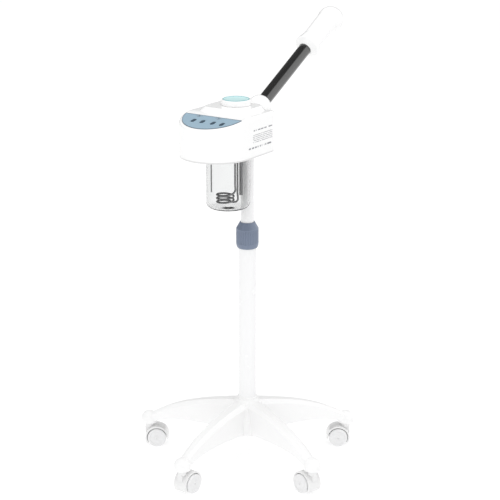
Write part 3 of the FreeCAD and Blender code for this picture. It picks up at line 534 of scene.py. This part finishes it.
# %% Jar
low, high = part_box("glass_jar")
jar_centre = [(low[0] + high[0]) / 2, (low[1] + high[1]) / 2, 0.0]
jar_r = (high[0] - low[0]) / 2 / MM
jar_top = high[2] / MM
PIP_LENGTH = 8.0
PIP_R = 2.0
jar_foot = low[2] / MM + PIP_LENGTH
JAR_WALL = 2.4
CORNER = 12.0
bend = np.linspace(0, math.pi / 2, 14)
bend_r, bend_z = jar_r - CORNER, jar_foot + CORNER
inner_corner = CORNER - JAR_WALL
outer_bend = np.stack([bend_r + CORNER * np.sin(bend), bend_z - CORNER * np.cos(bend)], axis=1)
inner_bend = np.stack([bend_r + inner_corner * np.sin(bend), bend_z - inner_corner * np.cos(bend)], axis=1)
inner_bend = inner_bend[::-1]
tip = np.linspace(0, math.pi / 2, 6)
pip = np.stack([PIP_R * np.sin(tip), jar_foot - PIP_LENGTH + PIP_R - PIP_R * np.cos(tip)], axis=1)
jar_line = np.vstack([pip[1:], [(2.6, jar_foot - 3.0), (3.4, jar_foot - 0.8), (5.0, jar_foot)], outer_bend,
                      [(jar_r, jar_top - 0.8), (jar_r - 0.8, jar_top), (jar_r - JAR_WALL + 0.8, jar_top),
                       (jar_r - JAR_WALL, jar_top - 0.8)], inner_bend, [(0.2, jar_foot + JAR_WALL)]])
jar = surface("jar", turned(jar_line, jar_centre), "jar", "jar_glass")
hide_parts("glass_jar")

# %% [markdown]
# ## The control panel
# The blue panel has the outline of a circle cut by a straight line, set in a thin dark bead. The
# circle is found from the panel's own points: its width on the cut side and its depth fix the radius.

# %% Panel bead
BEAD_R = 0.6 * MM
BEAD_SUNK = 0.1 * MM
panel_s = span("control_panel", FORWARD)
panel_w = span("control_panel", SIDE)
panel = vertices("control_panel")
back = panel[panel @ FORWARD < panel_s[0] + 0.5 * MM]
half_chord = np.abs(back @ SIDE).max()
depth = panel_s[1] - panel_s[0]
disc_r = (half_chord ** 2 + depth ** 2) / (2 * depth)
disc_s = panel_s[1] - disc_r
rear_z = back[:, 2].max()
front_z = panel[panel @ FORWARD > panel_s[1] - 1.5 * MM][:, 2].max()
slope = (rear_z - front_z) / depth
print("panel disc radius", disc_r, "centre", disc_s, "slope", slope)


def panel_height(s):
    """Height of the panel's face at a distance s forward of the column."""
    return rear_z - slope * (s - panel_s[0])


opening = math.acos((panel_s[0] - disc_s) / disc_r)
sweep_angle = np.linspace(-opening, opening, 160)
rim = np.stack([disc_s + disc_r * np.cos(sweep_angle), disc_r * np.sin(sweep_angle)], axis=1)
chord = np.stack([np.full(60, panel_s[0]), np.linspace(half_chord, -half_chord, 60)], axis=1)[1:-1]
bead_path = np.vstack([rim, chord])
bead_z = panel_height(bead_path[:, 0]) - BEAD_SUNK
bead_path = head_point(bead_path[:, 0], bead_path[:, 1], bead_z)
moulded("panel_bead", (0.10, 0.14, 0.19), 0.35, grain=1200, mottle=0.1, dust=0.02)
surface("panel_bead", closed_swept(bead_path, BEAD_R), "head", "panel_bead",
        wrap_rows=True)

# %% [markdown]
# ## Printed marks
# The front carries small printed marks by its two lamps and rows of print on its right side. All
# are made generic here: plain rings, and dashes of uneven length. Ink has hardly any thickness, so
# each mark is a very low block sunk a little into the moulding, and a ray sent at the casing from
# outside finds where its surface is.

# %% Low blocks of ink
moulded("ink_grey", (0.30, 0.31, 0.33), 0.6, grain=2500, mottle=0.3, dust=0.0)
CORNERS = np.array([[i, j, k] for i in (-0.5, 0.5) for j in (-0.5, 0.5) for k in (-1.0, 0.12)])
BOX_FACES = [(0, 1, 3, 2), (4, 6, 7, 5), (0, 4, 5, 1), (2, 3, 7, 6), (0, 2, 6, 4), (1, 5, 7, 3)]


def ink(name, centres, long_way, long_sizes, short_way, short_size, out):
    """One low box per mark: its centre plus lengths along two directions, standing 0.12 mm proud."""
    count = len(centres)
    along = (np.array(long_sizes) * MM)[:, None, None] * CORNERS[None, :, 0, None] * np.array(long_way)
    across = short_size * MM * CORNERS[None, :, 1, None] * np.array(short_way)
    raised = MM * CORNERS[None, :, 2, None] * np.array(out)
    points = (np.array(centres)[:, None, :] + along + across + raised).reshape(-1, 3)
    faces = [tuple(8 * n + i for i in face) for n in range(count) for face in BOX_FACES]
    return finish_mesh(name, points, faces, "head", "ink_grey")


def on_side(s, z):
    """The point of the casing's right side at s forward and z up, found by a ray from outside."""
    start = head_point(np.array(s), np.array(0.2), np.array(z))
    hit, point, normal, face = NODES["head_upper_shell"].ray_cast(start.tolist(), (-SIDE).tolist())
    return list(point)


# %% Print on the side: a bold row, a block of fine rows, and a loose row
# each row: height in metres, then start, end, thickness of a dash and gap between dashes in millimetres
rng = np.random.default_rng(7)
BOLD_ROW = (0.7665, 20.0, 90.0, 2.4, 2.0)
FINE_ROWS = [(0.7572 - 0.0037 * k, 20.0, 92.0, 1.0, 1.0) for k in range(5)]
LOOSE_ROW = (0.7315, 20.0, 108.0, 3.2, 3.4)
DASHES_PER_ROW = 15
for number, (z, start, end, thick, gap) in enumerate([BOLD_ROW, *FINE_ROWS, LOOSE_ROW]):
    cuts = np.sort(rng.uniform(start, end, DASHES_PER_ROW - 1))
    edges = np.concatenate([[start], cuts, [end]])
    lengths = np.diff(edges) - gap
    keep = lengths > 1.0
    middles = (edges[:-1] + edges[1:])[keep] / 2 * MM
    sites = [on_side(s, z) for s in middles]
    ink("print_row_%d" % (number + 1), sites, FORWARD, lengths[keep], UP, thick, SIDE)

# %% Rings and dashes beside the panel's lamps
LAMP_RING_R = 3.6 * MM
LAMP_RING_WIRE_R = 0.35 * MM
LONE_DASH_OUT = 7.0 * MM
PAIR_OUT = 6.5 * MM
PAIR_HALF_GAP = 1.6 * MM
lenses = vertices("indicator_lenses")
split = (lenses @ SIDE).mean()
LAMPS = [lenses[lenses @ SIDE < split], lenses[lenses @ SIDE > split]]
down_slope = FORWARD - slope * UP
down_slope = down_slope / np.linalg.norm(down_slope)
off_panel = np.cross(SIDE, down_slope)
off_panel = off_panel * np.sign(off_panel[2])
for number, points in enumerate(LAMPS):
    middle = points.mean(axis=0)
    s, w = middle @ FORWARD, middle @ SIDE
    t = np.linspace(0, 2 * math.pi, 48, endpoint=False)
    ring_s, ring_w = s + LAMP_RING_R * np.cos(t), w + LAMP_RING_R * np.sin(t)
    path = head_point(ring_s, ring_w, panel_height(ring_s))
    surface("lamp_ring_%d" % (number + 1), closed_swept(path, LAMP_RING_WIRE_R, 8), "head", "ink_grey",
            wrap_rows=True)
    sites = [(s, w + LONE_DASH_OUT), (s - PAIR_HALF_GAP, w - PAIR_OUT), (s + PAIR_HALF_GAP, w - PAIR_OUT)]
    centres = [head_point(np.array(a), np.array(b), np.array(panel_height(a))).tolist() for a, b in sites]
    ink("lamp_dashes_%d" % (number + 1), centres, SIDE, [4.0, 3.0, 3.0], down_slope, 0.8, off_panel)

# %% [markdown]
# ## The keys
# Four soft oval keys stand in the panel, each a little crowned so a fingertip finds it. The
# plan is an oval; its outline is drawn in toward the middle while the height rises along a dome.

# %% Keys
KEY_LIP = 1.5 * MM
KEY_PROUD = 1.25 * MM
KEY_CROWN = 1.3 * MM
KEY_SKIRT_FOOT = 0.3 * MM


def key_grid(node):
    """Crowned oval: the outline shrinks by rho while the height falls as rho**4 from the middle."""
    s0, s1 = span(node, FORWARD)
    w0, w1 = span(node, SIDE)
    z0, z1 = span(node, UP)
    length, width = (s1 - s0) / 2 - KEY_LIP, (w1 - w0) / 2 - KEY_LIP
    centre_s, centre_w = (s0 + s1) / 2, (w0 + w1) / 2
    t = np.linspace(0, 2 * math.pi, 48, endpoint=False)
    oval_s = (length - width) * np.sign(np.cos(t)) * (np.abs(np.cos(t)) > 1e-9) + width * np.cos(t)
    oval_w = width * np.sin(t)
    rho = np.concatenate([np.linspace(0.02, 0.9, 9), np.linspace(0.93, 1.0, 5), [1.0, 0.02]])
    drop = KEY_CROWN * rho ** 4
    s = centre_s + rho[:, None] * oval_s
    w = centre_w + rho[:, None] * oval_w
    z = panel_height(s) + KEY_PROUD - drop[:, None]
    z[-2:] = z0 + KEY_SKIRT_FOOT
    return head_point(s, w, z)


for number in range(1, 5):
    name = "button_%d" % number
    key = surface("key_%d_pad" % number, key_grid(name), "key_%d" % number, "button_slate")
    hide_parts(name)

# %% [markdown]
# ## Floor, light and camera
# The stage is a plain white floor that glows a little, so it merges with the backdrop. A broad soft
# light overhead and a weaker one beside the camera light the object, with a faint one from the
# right. The surroundings are a staged set, not a real room. The camera sees a white backdrop, soft
# light comes from slightly darker walls, and sharp reflections see a dark room with one bright
# wall on the right, which puts a single crisp highlight down the black sleeve and the glossy edges.

# %% Floor
floor_mesh = bpy.data.meshes.new("floor")
edge = 14.0
floor_corners = [(-edge, -edge, 0), (edge, -edge, 0), (edge, edge, 0), (-edge, edge, 0)]
floor_mesh.from_pydata(floor_corners, [], [(0, 1, 2, 3)])
floor = bpy.data.objects.new("floor", floor_mesh)
bpy.context.scene.collection.objects.link(floor)
ground = bpy.data.materials.new("floor_white")
ground.use_nodes = True
paper = ground.node_tree.nodes["Principled BSDF"]
paper.inputs["Base Color"].default_value = (0.45, 0.45, 0.45, 1)
paper.inputs["Roughness"].default_value = 0.9
paper.inputs["Specular IOR Level"].default_value = 0.1
paper.inputs["Emission Color"].default_value = (1, 1, 1, 1)
paper.inputs["Emission Strength"].default_value = 0.64
floor_mesh.materials.append(ground)

# %% Surroundings: white to the camera, softer for light, split for reflections
world = bpy.data.worlds.new("studio")
bpy.context.scene.world = world
world.use_nodes = True
sky = world.node_tree
backdrop = place(sky, "ShaderNodeBackground", Color=(1, 1, 1, 1), Strength=1.05)
glow = place(sky, "ShaderNodeBackground", Color=(1, 1, 1, 1), Strength=0.86)
mirrored = place(sky, "ShaderNodeBackground", Color=(1, 1, 1, 1))
way = sky.nodes.new("ShaderNodeTexCoord")
parts = sky.nodes.new("ShaderNodeSeparateXYZ")
wall = place(sky, "ShaderNodeMapRange", From_Min=0.5, From_Max=0.6, To_Min=0.12, To_Max=1.4)
sky.links.new(way.outputs["Generated"], parts.inputs[0])
sky.links.new(parts.outputs["X"], wall.inputs["Value"])
sky.links.new(wall.outputs["Result"], mirrored.inputs["Strength"])
path_kind = sky.nodes.new("ShaderNodeLightPath")
soft = sky.nodes.new("ShaderNodeMixShader")
choice = sky.nodes.new("ShaderNodeMixShader")
sky.links.new(path_kind.outputs["Is Glossy Ray"], soft.inputs[0])
sky.links.new(glow.outputs[0], soft.inputs[1])
sky.links.new(mirrored.outputs[0], soft.inputs[2])
sky.links.new(path_kind.outputs["Is Camera Ray"], choice.inputs[0])
sky.links.new(soft.outputs[0], choice.inputs[1])
sky.links.new(backdrop.outputs[0], choice.inputs[2])
sky.links.new(choice.outputs[0], sky.nodes["World Output"].inputs["Surface"])

# %% Lamps
def softbox(name, place_at, target, size, watts, glossy=True):
    """A square area lamp that looks at a target point."""
    lamp = bpy.data.lights.new(name, "AREA")
    lamp.size = size
    lamp.energy = watts
    holder = bpy.data.objects.new(name, lamp)
    bpy.context.scene.collection.objects.link(holder)
    away = np.array(place_at) - np.array(target)
    across = math.hypot(away[0], away[1])
    holder.location = place_at
    holder.rotation_euler = (math.atan2(across, away[2]), 0, math.atan2(away[0], -away[1]))
    holder.visible_glossy = glossy
    return holder


softbox("key_light", (-1.8, -3.0, 2.0), (0, 0, 0.5), 1.8, 12, glossy=False)
softbox("side_light", (2.6, -2.2, 0.9), (0, 0, 0.6), 1.6, 2)
softbox("top_light", (0.2, -0.4, 3.2), (0, 0, 0.3), 2.0, 28, glossy=False)

# %% Camera
camera = bpy.data.cameras.new("camera")
camera.lens = 114.4
camera.sensor_width = 36.0
CAMERA_DOWN_DEG = 16.81
view = bpy.data.objects.new("camera", camera)
view.location = (0.00565, -3.2575, 1.4645)
view.rotation_euler = (math.radians(90 - CAMERA_DOWN_DEG), 0, 0)
bpy.context.scene.collection.objects.link(view)
bpy.context.scene.camera = view
bpy.context.scene.view_settings.view_transform = "Standard"
